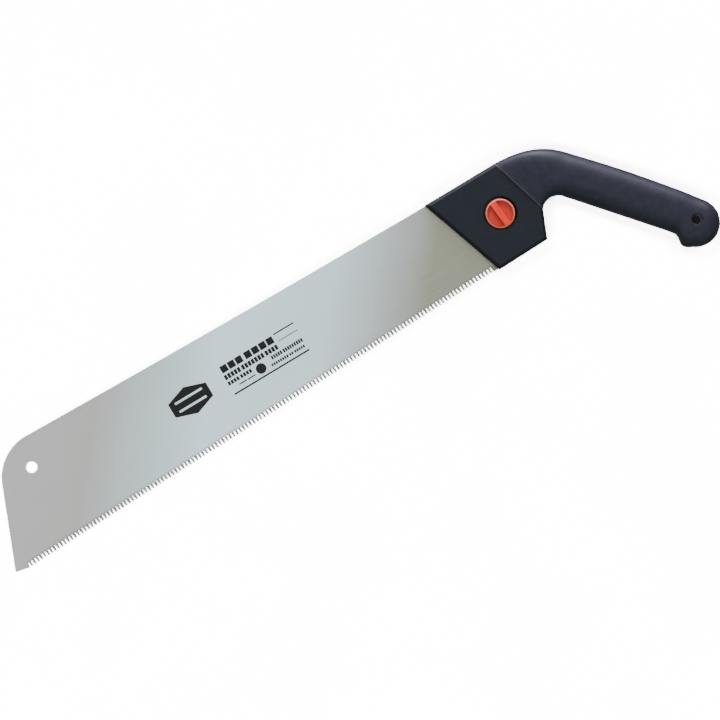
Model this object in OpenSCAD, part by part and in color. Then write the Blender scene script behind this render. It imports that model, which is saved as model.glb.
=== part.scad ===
// Japanese pull saw: a replaceable toothed blade clamped in the flat head of a
// hollow, two-shell pistol grip by a bolt and a finger knob.
// The shapes are drawn about the clamp bolt: X runs along the tooth line towards
// the grip, Y towards the spine, Z along the bolt towards the knob, and Z = 0 is
// the middle of the blade. place() then moves the saw so that the origin is the
// middle of its bounding box in X and Y and its lowest point in Z.

/* [Blade] */
// Distance from the toe corner to the clamp bolt
blade_reach = 423.7; // [390:1:440]
// Thickness of the blade steel
blade_t = 0.9; // [0.7:0.1:1]
// Distance from one tooth tip to the next
tooth_pitch = 2.82; // [2.5:0.02:3.4]
// Height of a tooth from gullet to tip
tooth_h = 3.2; // [2:0.1:3.4]
// Radius of the hanging hole near the toe
toe_hole_r = 4; // [3:0.1:5]
// Width of the tang inside the head
tang_w = 36; // [30:1:36]

/* [Handle] */
// Thickness of the flat head
head_t = 18; // [17:0.5:19]
// Thickness of the grip at its fullest
grip_t = 26; // [24:0.5:30]
// Wall thickness of the moulded shells
wall = 2.8; // [2.2:0.1:3.2]
// Radius of the round butt
butt_r = 17.2; // [16.5:0.1:17.5]
// Radius of the inside bend under the first finger
bend_r = 10.9; // [10:0.1:11.5]
// Radius of the hanging hole in the butt
hang_hole_r = 3.5; // [3:0.1:4]
// Size of the bevel along the edges of the head
bevel = 2.2; // [1:0.1:2.5]

/* [Clamp] */
// Diameter of the finger knob
knob_d = 21; // [19:0.5:22]
// Gap round the knob in its well
knob_gap = 1.4; // [0.8:0.1:1.6]
// Height of the knob without its finger bar
knob_h = 6.3; // [5.8:0.1:6.6]
// Thread diameter of the bolt
thread_d = 6; // [5:0.5:6]
// Diameter of the bolt's plain shoulder
shoulder_d = 8; // [7:0.5:8]
// Thickness of each clamp plate
plate_t = 1.5; // [1.2:0.1:1.6]

/* [Hidden] */

$fn = 64;
over = 1;             // how far a cutter runs past the face it opens
face_gap = 0.05;      // running gap between faces that slide or turn
thread_gap = 0.07;    // the same, round the bolt's thread
loose = 0.15;         // gap round parts that are dropped into place
tang_gap = 0.4;       // gap beside and behind the tang in its slot

// Colours
plastic = "#2a303a";
steel = "#b9bfc1";
zinc = "#a9adb0";
brass = "#b08d4a";
red = "#cc4a36";

// --- Blade ---
tip_y = -32.2;                       // tooth tips
gullet_y = tip_y + tooth_h;          // bottoms of the gullets
toe_corner = [-blade_reach, -29.3];
nose_w = 10.3;                       // plain stretch at the toe, before the first tooth
nose_end = [-blade_reach + nose_w, -31.9];
toe_angle = 66.2;                    // slope of the toe's front edge
toe_r = 34;                          // corner between the toe and the spine
spine_y = 32.9;                      // spine height where it meets the head
spine_slope = 0.0361;                // rise of the spine towards the toe
spine_bow = 0.0000318;               // its slight hollow curve
plain_end = -26.2;                   // teeth stop here, short of the head
nose_step = 0.7;                     // from the end of the nose to the first gullet
teeth_x = nose_end[0] + nose_step;
tooth_count = floor((plain_end - teeth_x) / tooth_pitch);
tooth_lean = 0.62;                   // where the tip lies along the pitch
toe_hole = [-blade_reach + 49.35, 27];
shoulder_gap = 0.3;                  // gap between the blade and the head's front
tang_end = 10;                       // rear end of the tang
bolt_slot_r = shoulder_d / 2 + 0.2;  // slot in the tang, round the bolt

// --- Head outline ---
front_top = [-41.8, 33.4];
front_low = [-21.5, -33.2];
rear_low = [18.2, -33.2];
rear_top = [25.4, -16.9];
ridge_top = [15.1, 31.9];
bend_c = [35.6, -20.6];
ridge_a = 140.6;                     // where the ridge meets the bend
bend_end_a = 38;
ridge_low = bend_c + bend_r * [cos(ridge_a), sin(ridge_a)];

// --- Grip outline ---
shoulder = [60.8, 13.5];             // where the back of the grip straightens
butt_c = [112.7, -79.6];
butt_top_a = 36;                     // where the back runs into the round butt
butt_low_a = -126;                   // where the beak runs into it
butt_end_a = -52;                    // furthest point along the grip
butt_top = butt_c + butt_r * [cos(butt_top_a), sin(butt_top_a)];
palm_end = [116.3, -54.9];           // back of the grip opposite the notch
bend_low = bend_c + bend_r * [cos(bend_end_a), sin(bend_end_a)];
notch_start = [92.6, -73.6];
beak = [
    [94.9, -76.6], [96.5, -79.6], [96.4, -83.4], [95.7, -86.4], [96.4, -88.9], [98.6, -91.3]
];
hang_hole = [114.5, -77.8];

// --- Heights ---
head_half = head_t / 2;
grip_half = grip_t / 2;
ridge_step = 1.3;                    // the grip starts this much thicker than the head
ridge_half = head_half + ridge_step;
skin = 2.5;                          // thickness of the head's outer skin
plate_in = blade_t / 2 + face_gap;   // inner face of each clamp plate
plate_out = plate_in + plate_t;
plate_float = 0.3;                   // how far the pressure plate can lift
pocket_h = plate_out + plate_float;
washer_t = 1;
washer_z = plate_out + face_gap;
knob_z = washer_z + washer_t + face_gap;
insert_h = 3.4;
bar_h = knob_h + 0.6;                // the finger bar stands a little above the rim
web_h = insert_h + 0.5;              // floor of the two finger recesses
bolt_seat = 4.2;                     // depth of the bolt head's seat below the blade
bolt_head_h = 4;
bolt_pitch = 1;
thread_depth = 0.5;
bolt_tip = knob_z + insert_h - 0.1;
bolt_edge = 0.5;                     // bevel round the bolt's head and tip

// --- Clamp sizes in plan ---
well_r = knob_d / 2 + knob_gap;
well_wall = 2.6;
plate_back = 4.2;                    // plates start this far behind the head's front
plate_end = 6;
plate_half_w = 22.4;
plate_fit = 0.3;                     // gap round the plates in their pocket
pin_x = -12;
pin_y = tang_w / 2 + 1.9;
pin_r = 1.5;
pin_boss_r = 2.7;
pin_edge = 0.4;                      // bevel at the pin's upper end
pin_end = plate_out + 1.2;
hex_r = 5.77;                        // hex head, 10 across the flats
core_r = 9;

// --- Knob ---
insert_r = thread_d / 2 + 2;
bar_w = 5;                           // finger bar across the knob
bar_tilt = 4;                        // the bar rests a few degrees off square
rim_w = 1.7;
rim_edge = 0.8;                      // bevel round the rim

// --- Shell screws ---
screw_at = [
    [-33.5, 26.3], [9.5, 25.6], [11.5, -26.6], [-16.6, -26.4],
    [37.5, 9], [71.5, -23], [98.5, -57.5]
];
screw_r = 1.5;
screw_seat = 6;                      // depth of every screw's seat from the mid-plane
screw_len = 11;
screw_head_r = 2.5;
screw_head_h = 1.8;
screw_taper = 0.5;                   // the head narrows this much towards its top
cross = [3.2, 0.7, 1.1];             // cross recess: length, width and depth
screw_pitch = 1;
screw_thread = [2.5, 9.5];           // the thread runs between these depths
screw_thread_depth = 0.35;
boss_r = 2.9;
hang_boss_r = 6.2;
rib_t = 1.6;

// --- Loft resolution ---
ring_n = 16;                         // facets across a half section
bend_n = 9;
palm_n = 7;
butt_n = 8;
cavity_from = 2;                     // first and last stations of the hollow
cavity_to = bend_n + palm_n + len(beak) + 4;

// --- Helpers ---
function unit(v) = v / norm(v);
function mix(a, b, t) = a * (1 - t) + b * t;
function on_circle(c, r, a) = c + r * [cos(a), sin(a)];
function bezier(a, b, c, d, t) =
    mix(mix(mix(a, b, t), mix(b, c, t), t), mix(mix(b, c, t), mix(c, d, t), t), t);

// Height of the spine at x, and the tooth line as one saw-toothed run of points
function spine_at(x) = spine_y + spine_slope * (front_top[0] - x)
    + spine_bow * pow(front_top[0] - x, 2);
teeth = [for (i = [0:tooth_count - 1]) each [
    [teeth_x + i * tooth_pitch, gullet_y],
    [teeth_x + (i + tooth_lean) * tooth_pitch, tip_y]
]];

// The head's front edge at height y
function front_x(y) = mix(front_top[0], front_low[0],
    (front_top[1] - y) / (front_top[1] - front_low[1]));

// Arc that rounds the corner b between the straight runs a-b and b-c
function corner(a, b, c, r, steps) =
    let (u = unit(a - b), v = unit(c - b), half = acos(u * v) / 2,
        m = b + unit(u + v) * r / sin(half),
        from = b + u * r / tan(half) - m, to = b + v * r / tan(half) - m)
    [for (i = [0:steps]) m + r * unit(mix(from, to, i / steps))];

// A closed outline moved inwards by d; its points run anticlockwise
function inset(p, d) = [for (i = [0:len(p) - 1])
    let (a = p[(i + len(p) - 1) % len(p)], b = p[i], c = p[(i + 1) % len(p)],
        u = unit(b - a), v = unit(c - b), nu = [-u[1], u[0]], nv = [-v[1], v[0]])
    b + (nu + nv) * d / (1 + nu * nv)];

// Outline of the blade: teeth, tang with its cut corners, spine and toe
tang_half = tang_w / 2;
tang_cut = 2;
spine_x = -blade_reach + 75;         // the spine runs straight from here to the toe corner
toe_top_y = spine_at(-blade_reach + 35);
toe_top = [toe_corner[0] + (toe_top_y - toe_corner[1]) / tan(toe_angle), toe_top_y];
blade_outline = concat(
    [nose_end],
    teeth,
    [[plain_end, gullet_y], [plain_end + nose_step, tip_y],
     [front_x(tip_y) - shoulder_gap, tip_y],
     [front_x(-tang_half) - shoulder_gap, -tang_half], [tang_end - tang_cut, -tang_half],
     [tang_end, -tang_half + tang_cut], [tang_end, tang_half - tang_cut],
     [tang_end - tang_cut, tang_half], [front_x(tang_half) - shoulder_gap, tang_half],
     [front_x(spine_y) - shoulder_gap, spine_y]],
    [for (i = [1:8]) let (x = mix(front_top[0], spine_x, i / 8)) [x, spine_at(x)]],
    corner([spine_x, spine_at(spine_x)], toe_top, toe_corner, toe_r, 10),
    [toe_corner]
);

// Back of the grip, from the ridge over the shoulder and round the butt
back_line = concat(
    [for (i = [0:bend_n - 1]) bezier(ridge_top, ridge_top + [22, -1], shoulder + [-10, 10.7],
        shoulder, i / bend_n)],
    [for (i = [0:palm_n - 1]) mix(shoulder, palm_end, i / palm_n)
        + [0.75, 0.6] * sin(180 * i / palm_n)],
    [for (i = [0:len(beak) - 1]) bezier(palm_end, palm_end + [3, -4], butt_top + [-3, 4.1],
        butt_top, i / len(beak))],
    [for (i = [0:butt_n]) on_circle(butt_c, butt_r, mix(butt_top_a, butt_end_a + 3, i / butt_n))]
);

// Front of the grip, from the ridge round the finger bend to the beak and the butt
front_line = concat(
    [for (i = [0:bend_n - 1]) on_circle(bend_c, bend_r, mix(ridge_a, bend_end_a, i / bend_n))],
    [for (i = [0:palm_n - 1]) mix(bend_low, notch_start, i / palm_n)],
    beak,
    [for (i = [0:butt_n]) on_circle(butt_c, butt_r, mix(butt_low_a, butt_end_a - 3, i / butt_n))]
);
stations = len(back_line);
butt_from = stations - 1 - butt_n;

// Half thickness and squareness of the section at station i
function rise(i) = mix(ridge_half, grip_half, sin(90 * min(1, i / (bend_n + 1))));
function along(i) = i <= butt_from ? 0
    : cos(mix(88, 3, (i - butt_from) / butt_n));
function squareness(i) = i < bend_n ? mix(5, 2.7, i / bend_n)
    : mix(2.7, 3.3, min(1, (i - bend_n) / (butt_from - bend_n)));
function half_at(i) = rise(i) * pow(1 - pow(along(i), 2.6), 1 / 2.6);

// One half section: a squared-off half ellipse standing on the mid-plane, with its
// foot carried down by skirt
function section(i, inward, skirt) =
    let (t = back_line[i], b = front_line[i], u = unit(t - b), half = norm(t - b) / 2 - inward,
        mid = (t + b) / 2, h = half_at(i) - inward, e = 2 / squareness(i),
        foot = skirt > 0 ? [0] : [])
    concat(
        [for (k = foot) [each (mid + u * half), -skirt]],
        [for (j = [0:ring_n]) let (c = cos(180 * j / ring_n), s = sin(180 * j / ring_n))
            [each (mid + u * half * sign(c) * pow(abs(c), e)), h * pow(max(s, 0), e)]],
        [for (k = foot) [each (mid - u * half), -skirt]]
    );

// --- Shapes ---
// A loft through the half sections of stations first to last
module grip_loft(first, last, inward, skirt) {
    rings = [for (i = [first:last]) section(i, inward, skirt)];
    w = len(rings[0]);
    n = len(rings);
    polyhedron(
        points = [for (r = rings) each r],
        faces = concat(
            [[for (j = [0:w - 1]) j]],
            [[for (j = [w - 1:-1:0]) (n - 1) * w + j]],
            [for (i = [0:n - 2], j = [0:w - 2]) [i * w + j, (i + 1) * w + j, i * w + j + 1]],
            [for (i = [0:n - 2], j = [0:w - 2])
                [(i + 1) * w + j, (i + 1) * w + j + 1, i * w + j + 1]],
            [for (i = [0:n - 2]) [i * w, i * w + w - 1, (i + 1) * w + w - 1]],
            [for (i = [0:n - 2]) [i * w, (i + 1) * w + w - 1, (i + 1) * w]]
        ),
        convexity = 6
    );
}

head_outline = [
    front_top, front_low, rear_low, rear_top, on_circle(bend_c, bend_r, 152), ridge_low,
    ridge_low + [0.5, 0.9], ridge_top + [0.5, -0.6], ridge_top
];
cavity_outline = inset([front_top, front_low, rear_low, ridge_low, ridge_top], wall);

// A 45 degree cutter along the top edge of the head from a to b
module edge_bevel(a, b) {
    d = b - a;
    translate([a[0], a[1], head_half])
        rotate([0, 0, atan2(d[1], d[0])])
            rotate([45, 0, 0])
                translate([-5, -bevel / sqrt(2), -bevel / sqrt(2)])
                    cube([norm(d) + 10, bevel * sqrt(2), bevel * sqrt(2)]);
}

module head_slab() {
    difference() {
        linear_extrude(head_half) polygon(head_outline);
        edge_bevel(front_top, front_low);
        edge_bevel(front_low, rear_low);
        edge_bevel(rear_low, rear_top);
        intersection() {
            edge_bevel(ridge_top, front_top);
            translate([-60, 0, 0]) cube([60 + ridge_top[0] + 0.3, 60, 20]);
        }
    }
}

// What stands inside the hollow shell: bosses under the screws and the hanging
// hole, and ribs across the head and the grip
module bosses() {
    for (p = screw_at)
        translate([each p, -2 * over]) cylinder(r = boss_r, h = grip_t);
    translate([each hang_hole, -2 * over]) cylinder(r = hang_boss_r, h = grip_t);
}

module head_ribs() {
    for (x = [pin_x - 8, plate_end + 1])
        translate([x, -head_t * 2, pocket_h]) cube([rib_t, head_t * 4, head_t]);
    for (y = [-pin_y, pin_y])
        translate([-50, y - rib_t / 2, pocket_h]) cube([80, rib_t, head_t]);
}

module grip_ribs() {
    for (i = [bend_n, bend_n + 2, bend_n + 5])
        let (t = back_line[i], b = front_line[i], d = t - b)
            translate([each b, 1.2])
                rotate([0, 0, atan2(d[1], d[0])])
                    translate([0, -rib_t / 2, 0]) cube([norm(d), rib_t, grip_t]);
}

// A bare half shell, knob side up, before its own holes
module half_shell() {
    difference() {
        union() {
            head_slab();
            grip_loft(0, stations - 1, 0, 0);
        }
        difference() {
            translate([0, 0, -over]) linear_extrude(head_half - skin + over)
                polygon(cavity_outline);
            bosses();
            head_ribs();
            children(0);
        }
        difference() {
            grip_loft(cavity_from, cavity_to, wall, over);
            bosses();
            grip_ribs();
        }
        // Slot for the tang in the front wall
        translate([front_top[0] - over, -tang_w / 2 - tang_gap, -over])
            cube([tang_end + tang_gap - front_top[0] + over, tang_w + 2 * tang_gap,
                    over + blade_t / 2 + loose]);
        translate([each hang_hole, -over]) cylinder(r = hang_hole_r, h = grip_t);
    }
}

// Plan of a clamp plate, its front parallel to the head's front
module plate_plan(grow) {
    low = front_x(-plate_half_w) + plate_back - grow;
    top = front_x(plate_half_w) + plate_back - grow;
    half = plate_half_w + grow;
    polygon([[low, -half], [plate_end + grow, -half], [plate_end + grow, half], [top, half]]);
}

module left_shell() {
    color(plastic) difference() {
        half_shell() {
            union() {
                translate([0, 0, -2 * over]) cylinder(r = well_r + well_wall, h = head_t);
                for (s = [-1, 1])
                    translate([pin_x, s * pin_y, -2 * over]) cylinder(r = pin_boss_r, h = head_t);
            }
        }
        translate([0, 0, -over]) linear_extrude(pocket_h + over) plate_plan(plate_fit);
        translate([0, 0, -over]) cylinder(r = well_r, h = head_t);
        for (s = [-1, 1])
            translate([pin_x, s * pin_y, 0]) cylinder(r = pin_r + loose, h = pin_end + loose);
        for (p = screw_at)
            translate([each p, -over]) cylinder(r = screw_r, h = screw_len - screw_seat + over + loose);
    }
}

module right_shell() {
    color(plastic) mirror([0, 0, 1]) difference() {
        half_shell() {
            union() {
                translate([0, 0, -2 * over]) cylinder(r = core_r, h = head_t);
                for (s = [-1, 1])
                    translate([pin_x, s * pin_y, -2 * over]) cylinder(r = pin_boss_r, h = head_t);
            }
        }
        translate([0, 0, -over]) linear_extrude(plate_out + over) plate_plan(plate_fit);
        translate([0, 0, -over]) cylinder(r = shoulder_d / 2 + loose, h = head_t);
        translate([0, 0, bolt_seat]) cylinder(r = hex_r + loose, h = head_t, $fn = 6);
        for (s = [-1, 1])
            translate([pin_x, s * pin_y, 0]) cylinder(r = pin_r, h = pin_end);
        for (p = screw_at) {
            translate([each p, -over]) cylinder(r = screw_r + loose, h = grip_t);
            translate([each p, screw_seat]) cylinder(r = screw_head_r + 2 * loose, h = grip_t);
        }
    }
}

module blade() {
    color(steel) difference() {
        translate([0, 0, -blade_t / 2]) linear_extrude(blade_t) polygon(blade_outline);
        translate([0, 0, -blade_t]) cylinder(r = bolt_slot_r, h = 2 * blade_t);
        translate([0, -bolt_slot_r, -blade_t]) cube([tang_end + over, 2 * bolt_slot_r, 2 * blade_t]);
        translate([each toe_hole, -blade_t]) cylinder(r = toe_hole_r, h = 2 * blade_t);
    }
}

// A clamp plate lying on the mid-plane side of the blade, bored for bolt and pins
module clamp_plate(pin_hole_r) {
    color(zinc) difference() {
        translate([0, 0, plate_in]) linear_extrude(plate_t) plate_plan(0);
        cylinder(r = shoulder_d / 2 + loose, h = plate_out + over);
        for (s = [-1, 1])
            translate([pin_x, s * pin_y, 0]) cylinder(r = pin_hole_r, h = plate_out + over);
    }
}

module backing_plate() mirror([0, 0, 1]) clamp_plate(pin_r);

module pressure_plate() clamp_plate(pin_r + loose);

module plate_pin(side) {
    straight = 2 * pin_end - pin_edge;
    color(zinc) translate([pin_x, side * pin_y, -pin_end]) {
        cylinder(r = pin_r, h = straight);
        translate([0, 0, straight]) cylinder(r1 = pin_r, r2 = pin_r - pin_edge, h = pin_edge);
    }
}

// Half profile of a thread drawn as rings: n turns of the given pitch upwards from z0
function thread_side(r, z0, pitch, n, depth) = [for (i = [0:n - 1]) each [
    [r, z0 + i * pitch], [r, z0 + (i + 0.25) * pitch],
    [r - depth, z0 + (i + 0.5) * pitch], [r - depth, z0 + (i + 0.75) * pitch]
]];

module clamp_bolt() {
    turns = floor((bolt_tip - plate_out - bolt_edge) / bolt_pitch);
    top = plate_out + turns * bolt_pitch;
    r = thread_d / 2;
    shoulder_h = bolt_seat + plate_out;
    color(zinc) {
        translate([0, 0, -bolt_seat - bolt_head_h]) intersection() {
            cylinder(r = hex_r, h = bolt_head_h, $fn = 6);
            cylinder(r1 = hex_r - bolt_edge, r2 = hex_r - bolt_edge + bolt_head_h, h = bolt_head_h);
        }
        translate([0, 0, -bolt_seat - over]) cylinder(r = shoulder_d / 2, h = shoulder_h + over);
        rotate_extrude() polygon(concat(
            [[0, plate_out - over], [r, plate_out - over]],
            thread_side(r, plate_out, bolt_pitch, turns, thread_depth),
            [[r, top], [r - bolt_edge, bolt_tip], [0, bolt_tip]]
        ));
    }
}

module knob_washer() {
    color(zinc) translate([0, 0, washer_z]) difference() {
        cylinder(r = knob_d / 2 - rim_w, h = washer_t);
        translate([0, 0, -over]) cylinder(r = thread_d / 2 + thread_gap, h = washer_t + 2 * over);
    }
}

module knob_insert() {
    color(brass) translate([0, 0, knob_z]) difference() {
        cylinder(r = insert_r, h = insert_h);
        translate([0, 0, -over]) cylinder(r = thread_d / 2 + thread_gap, h = insert_h + 2 * over);
    }
}

module clamp_knob() {
    r = knob_d / 2;
    color(red) translate([0, 0, knob_z]) rotate([0, 0, bar_tilt]) difference() {
        union() {
            cylinder(r = r, h = knob_h - rim_edge);
            translate([0, 0, knob_h - rim_edge]) cylinder(r1 = r, r2 = r - rim_edge, h = rim_edge);
            intersection() {
                translate([-bar_w / 2, -r, 0]) cube([bar_w, 2 * r, bar_h]);
                cylinder(r = r - rim_w / 2, h = knob_d);
            }
        }
        difference() {
            translate([0, 0, web_h]) cylinder(r = r - rim_w, h = knob_d);
            translate([-bar_w / 2, -r, 0]) cube([bar_w, 2 * r, knob_d]);
        }
        translate([0, 0, -over]) cylinder(r = insert_r, h = insert_h + over);
    }
}

module shell_screw(p) {
    r = screw_r;
    turns = (screw_thread[1] - screw_thread[0]) / screw_pitch;
    color(zinc) translate([each p, -screw_seat]) {
        difference() {
            translate([0, 0, -screw_head_h])
                cylinder(r1 = screw_head_r - screw_taper, r2 = screw_head_r, h = screw_head_h);
            for (a = [0, 90])
                rotate([0, 0, a])
                    translate([-cross[0] / 2, -cross[1] / 2, -screw_head_h - over])
                        cube([cross[0], cross[1], over + cross[2]]);
        }
        rotate_extrude() polygon(concat(
            [[0, -loose], [r, -loose], [r, screw_thread[0]]],
            thread_side(r, screw_thread[0], screw_pitch, turns, screw_thread_depth),
            [[r, screw_thread[1]], [0, screw_len]]
        ));
    }
}

// The toe and the butt set the length, the spine corner and the butt the width
spine_peak = max([for (p = blade_outline) p[1]]);
origin_x = (butt_c[0] + butt_r - blade_reach) / 2;
origin_y = (spine_peak + butt_c[1] - butt_r) / 2;

module place() translate([-origin_x, -origin_y, grip_half]) children();

place() blade();
place() left_shell();
place() right_shell();
place() backing_plate();
place() pressure_plate();
place() plate_pin(1);  // plate_pin_upper
place() plate_pin(-1);  // plate_pin_lower
place() clamp_bolt();
place() knob_washer();
place() clamp_knob();
place() knob_insert();
for (i = [0:len(screw_at) - 1])
    place() shell_screw(screw_at[i]);
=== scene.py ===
# %% [markdown]
# # A Japanese pull saw
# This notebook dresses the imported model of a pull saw: a toothed steel blade held in a dark
# moulded pistol grip by a bolt and a red finger knob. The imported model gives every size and
# place. We model each visible piece again with more detail, and let it stand for the plain
# solid that it replaces.

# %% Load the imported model
import math
from math import cos, radians, sin

import bmesh
import bpy
from mathutils import Matrix, Vector


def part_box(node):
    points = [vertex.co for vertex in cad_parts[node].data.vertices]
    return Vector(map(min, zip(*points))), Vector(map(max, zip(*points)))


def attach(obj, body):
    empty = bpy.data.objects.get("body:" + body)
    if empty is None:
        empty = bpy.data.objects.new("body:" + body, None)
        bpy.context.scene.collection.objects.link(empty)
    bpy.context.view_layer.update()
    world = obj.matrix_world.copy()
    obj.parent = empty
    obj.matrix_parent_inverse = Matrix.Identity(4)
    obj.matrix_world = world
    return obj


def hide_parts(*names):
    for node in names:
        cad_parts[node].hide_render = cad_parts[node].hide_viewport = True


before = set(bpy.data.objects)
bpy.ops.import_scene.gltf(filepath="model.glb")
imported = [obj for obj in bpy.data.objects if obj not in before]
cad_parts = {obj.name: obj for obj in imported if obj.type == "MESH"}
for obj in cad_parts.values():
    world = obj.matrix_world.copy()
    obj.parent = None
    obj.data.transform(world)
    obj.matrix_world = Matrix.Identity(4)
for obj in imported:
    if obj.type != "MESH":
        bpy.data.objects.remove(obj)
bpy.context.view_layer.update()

# %% [markdown]
# ## One drawing board
# A saw maker draws everything from the clamp bolt, so we do too. On our drawing board the unit
# is the millimetre, X runs along the teeth towards the grip, Y towards the spine, Z along the
# bolt towards the knob, and Z = 0 is the middle of the blade. Working in millimetres keeps the
# numbers readable; the last step of every piece scales it to metres and moves it to its place.

# %% The drawing board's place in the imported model
MM = 0.001
bolt_low, bolt_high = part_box("clamp_bolt")
blade_low, blade_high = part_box("blade")
datum = Vector((
    (bolt_low.x + bolt_high.x) / 2,
    (bolt_low.y + bolt_high.y) / 2,
    (blade_low.z + blade_high.z) / 2,
))


def on_board(node):
    """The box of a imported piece, in millimetres on the drawing board."""
    low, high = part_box(node)
    return (low - datum) / MM, (high - datum) / MM


print("clamp bolt at", tuple(round(c, 5) for c in datum))

# %% [markdown]
# ## Working by hand, in code
# Blender's operators act on whatever is selected, so every step starts by saying exactly what
# that is. These helpers pick one object, or the faces, edges or points of it that pass a test.
# The test looks at places and normals, as our eyes would on the screen.

# %% Helpers for picking things
def leave_edit_mode():
    if bpy.context.object and bpy.context.object.mode != "OBJECT":
        bpy.ops.object.mode_set(mode="OBJECT")


def take(*pieces):
    """Selects just these objects, and makes the first one active."""
    leave_edit_mode()
    bpy.ops.object.select_all(action="DESELECT")
    for piece in pieces:
        piece.select_set(True)
    bpy.context.view_layer.objects.active = pieces[0]
    return pieces[0]


def pick(piece, kind, test):
    """Enters edit mode with just the faces, edges or points selected that pass the test."""
    take(piece)
    bpy.ops.object.mode_set(mode="EDIT")
    bpy.ops.mesh.select_mode(type=kind)
    bpy.ops.mesh.select_all(action="DESELECT")
    shape = bmesh.from_edit_mesh(piece.data)
    chosen = [e for e in {"FACE": shape.faces, "EDGE": shape.edges, "VERT": shape.verts}[kind]
              if test(e)]
    for element in chosen:
        element.select_set(True)
    bmesh.update_edit_mesh(piece.data)
    return len(chosen)


def pick_all(piece):
    return pick(piece, "FACE", lambda face: True)


def middle(element):
    """The middle of a face or an edge."""
    points = [v.co for v in element.verts]
    return sum(points, Vector()) / len(points)


# %% [markdown]
# Primitives come in at the world's origin unless told otherwise, and keep a default name. These
# helpers add one at its place, apply its size, and name it after the piece it will become.

# %% Helpers for adding things
def named(name):
    piece = bpy.context.object
    piece.name = piece.data.name = name
    bpy.ops.object.transform_apply(location=True, rotation=True, scale=True)
    return piece


def add_block(name, low, high):
    """A block between two corners."""
    leave_edit_mode()
    bpy.ops.object.select_all(action="DESELECT")
    low, high = Vector(low), Vector(high)
    bpy.ops.mesh.primitive_cube_add(size=1, location=(low + high) / 2, scale=high - low)
    return named(name)


def add_disc(name, centre, radius, low, high, sides=96):
    """A round or many-sided pillar that stands between two heights."""
    leave_edit_mode()
    bpy.ops.object.select_all(action="DESELECT")
    bpy.ops.mesh.primitive_cylinder_add(
        vertices=sides, radius=radius, depth=high - low,
        location=(centre[0], centre[1], (low + high) / 2))
    return named(name)


def cut(piece, point, outward, only=None):
    """Slices the mesh with a plane, removes what lies outward, and closes the cut."""
    pick(piece, "FACE", only or (lambda face: True))
    bpy.ops.mesh.bisect(plane_co=point, plane_no=outward, clear_outer=only is None,
                        use_fill=only is None, threshold=1e-4)
    leave_edit_mode()


def combine(piece, tool, how):
    """Adds the tool to the piece, or takes it away, and deletes the tool."""
    take(piece)
    step = piece.modifiers.new(how.lower(), "BOOLEAN")
    step.operation = how
    step.solver = "EXACT"
    step.object = tool
    bpy.ops.object.modifier_apply(modifier=step.name)
    bpy.data.objects.remove(tool)


def merged(piece, gap=1e-4):
    """Welds points that lie on each other and turns the faces outwards."""
    pick_all(piece)
    bpy.ops.mesh.remove_doubles(threshold=gap)
    bpy.ops.mesh.select_all(action="SELECT")
    bpy.ops.mesh.normals_make_consistent(inside=False)
    leave_edit_mode()


def soften(piece, width, steps=2, angle=30):
    """Rounds the sharp edges a little, as moulding and tumbling do."""
    take(piece)
    edge = piece.modifiers.new("edges", "BEVEL")
    edge.width = width
    edge.segments = steps
    edge.limit_method = "ANGLE"
    edge.angle_limit = radians(angle)
    edge.use_clamp_overlap = True
    bpy.ops.object.modifier_apply(modifier=edge.name)


def settle(piece, body, node=None, smooth=30):
    """Moves a finished piece from the drawing board to its place on the saw."""
    take(piece)
    piece.scale = (MM, MM, MM)
    piece.location = datum
    bpy.ops.object.transform_apply(location=True, rotation=True, scale=True)
    bpy.ops.object.shade_smooth_by_angle(angle=radians(smooth))
    flats = piece.modifiers.new("flat faces stay flat", "WEIGHTED_NORMAL")
    flats.keep_sharp = True
    bpy.ops.object.modifier_apply(modifier=flats.name)
    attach(piece, body)
    if node:
        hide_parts(node)
    print(f"{piece.name}: {len(piece.data.polygons)} faces")
    return piece


# %% [markdown]
# ## Materials
# A material has to show the scale of the thing. Each one here reads Object coordinates, which
# are metres on the saw itself, so a grain 0.3 mm across stays 0.3 mm across wherever the piece
# moves. A small set of helpers wires up noise, colour ramps and bumps.

# %% Helpers for materials
def new_material(name):
    material = bpy.data.materials.new(name)
    material.use_nodes = True
    nodes = material.node_tree.nodes
    shader = nodes["Principled BSDF"]
    where = nodes.new("ShaderNodeTexCoord")
    return material, shader, where.outputs["Object"]


def add_node(material, kind, **inputs):
    """Adds a node; values go on its sockets, and other nodes' outputs are wired to them."""
    node = material.node_tree.nodes.new(kind)
    for name, value in inputs.items():
        socket = node.inputs[name.replace("_", " ")]
        if isinstance(value, bpy.types.NodeSocket):
            material.node_tree.links.new(value, socket)
        else:
            socket.default_value = value
    return node


def wire(material, source, target):
    material.node_tree.links.new(source, target)


def pattern(material, where, scale, detail=4.0, rough=0.5, stretch=(1, 1, 1), turn=0.0):
    """Noise with a given number of cells per metre, stretched or turned on the saw."""
    place = add_node(material, "ShaderNodeMapping", Vector=where,
                     Scale=[scale * s for s in stretch], Rotation=(0, 0, turn))
    noise = add_node(material, "ShaderNodeTexNoise", Vector=place.outputs[0],
                     Scale=1.0, Detail=detail, Roughness=rough)
    return noise.outputs[0]


def ramp(material, value, *stops):
    """Turns a number into colours or greys; each stop is a place and a colour."""
    node = add_node(material, "ShaderNodeValToRGB", Fac=value)
    ramp_stops = node.color_ramp.elements
    for place, colour in stops[2:]:
        ramp_stops.new(place)
    for stop, (place, colour) in zip(ramp_stops, stops):
        stop.position = place
        stop.color = (*colour, 1) if isinstance(colour, tuple) else (colour,) * 3 + (1,)
    return node.outputs[0]


def spread(material, value, low, high, start=0.0, end=1.0):
    """A number that goes from start to end as the value goes from low to high."""
    node = add_node(material, "ShaderNodeMapRange", Value=value, From_Min=low, From_Max=high,
                    To_Min=start, To_Max=end)
    return node.outputs[0]


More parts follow.
